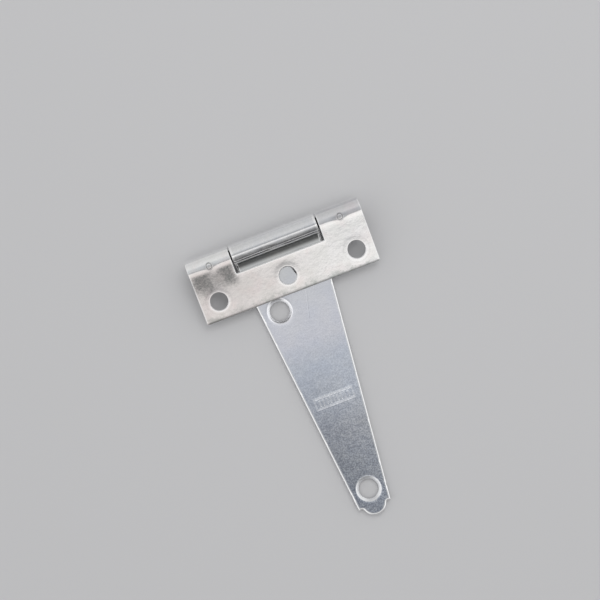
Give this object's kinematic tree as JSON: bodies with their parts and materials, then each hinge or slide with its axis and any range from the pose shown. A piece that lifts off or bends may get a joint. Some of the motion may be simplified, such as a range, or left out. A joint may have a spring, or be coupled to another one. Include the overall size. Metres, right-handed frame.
{
  "type": "t hinge",
  "caption": "Light T hinge of zinc-plated steel: long tapered strap leaf and short wide butt leaf on a fixed pin, both with countersunk screw holes, folded shut.",
  "frame": {"origin": "on the strap leaf's back face, at the middle of the folded hinge's footprint", "axes": "+X along the pin; -Y along the strap, from the pin to its tip; +Z out of the strap's back plane, towards the folded butt leaf"},
  "size_m": [0.0636, 0.105, 0.007],
  "materials": {
    "zinc_plated_strap": "bright zinc plate, faintly blue, finely mottled",
    "zinc_plated_butt": "bright zinc plate, smooth, faintly warm",
    "zinc_plated_pin": "zinc-plated wire, cut ends"
  },
  "bodies": {
    "strap": {"strap_leaf": "zinc_plated_strap"},
    "butt": {"butt_leaf": "zinc_plated_butt", "hinge_pin": "zinc_plated_pin"}
  },
  "joints": [
    {"name": "butt_swing", "type": "hinge", "parent": "strap", "child": "butt", "pos_m": [0, 0.04905, 0.0035], "axis": [-1, 0, 0], "range_deg": [0, 190.2]}
  ]
}
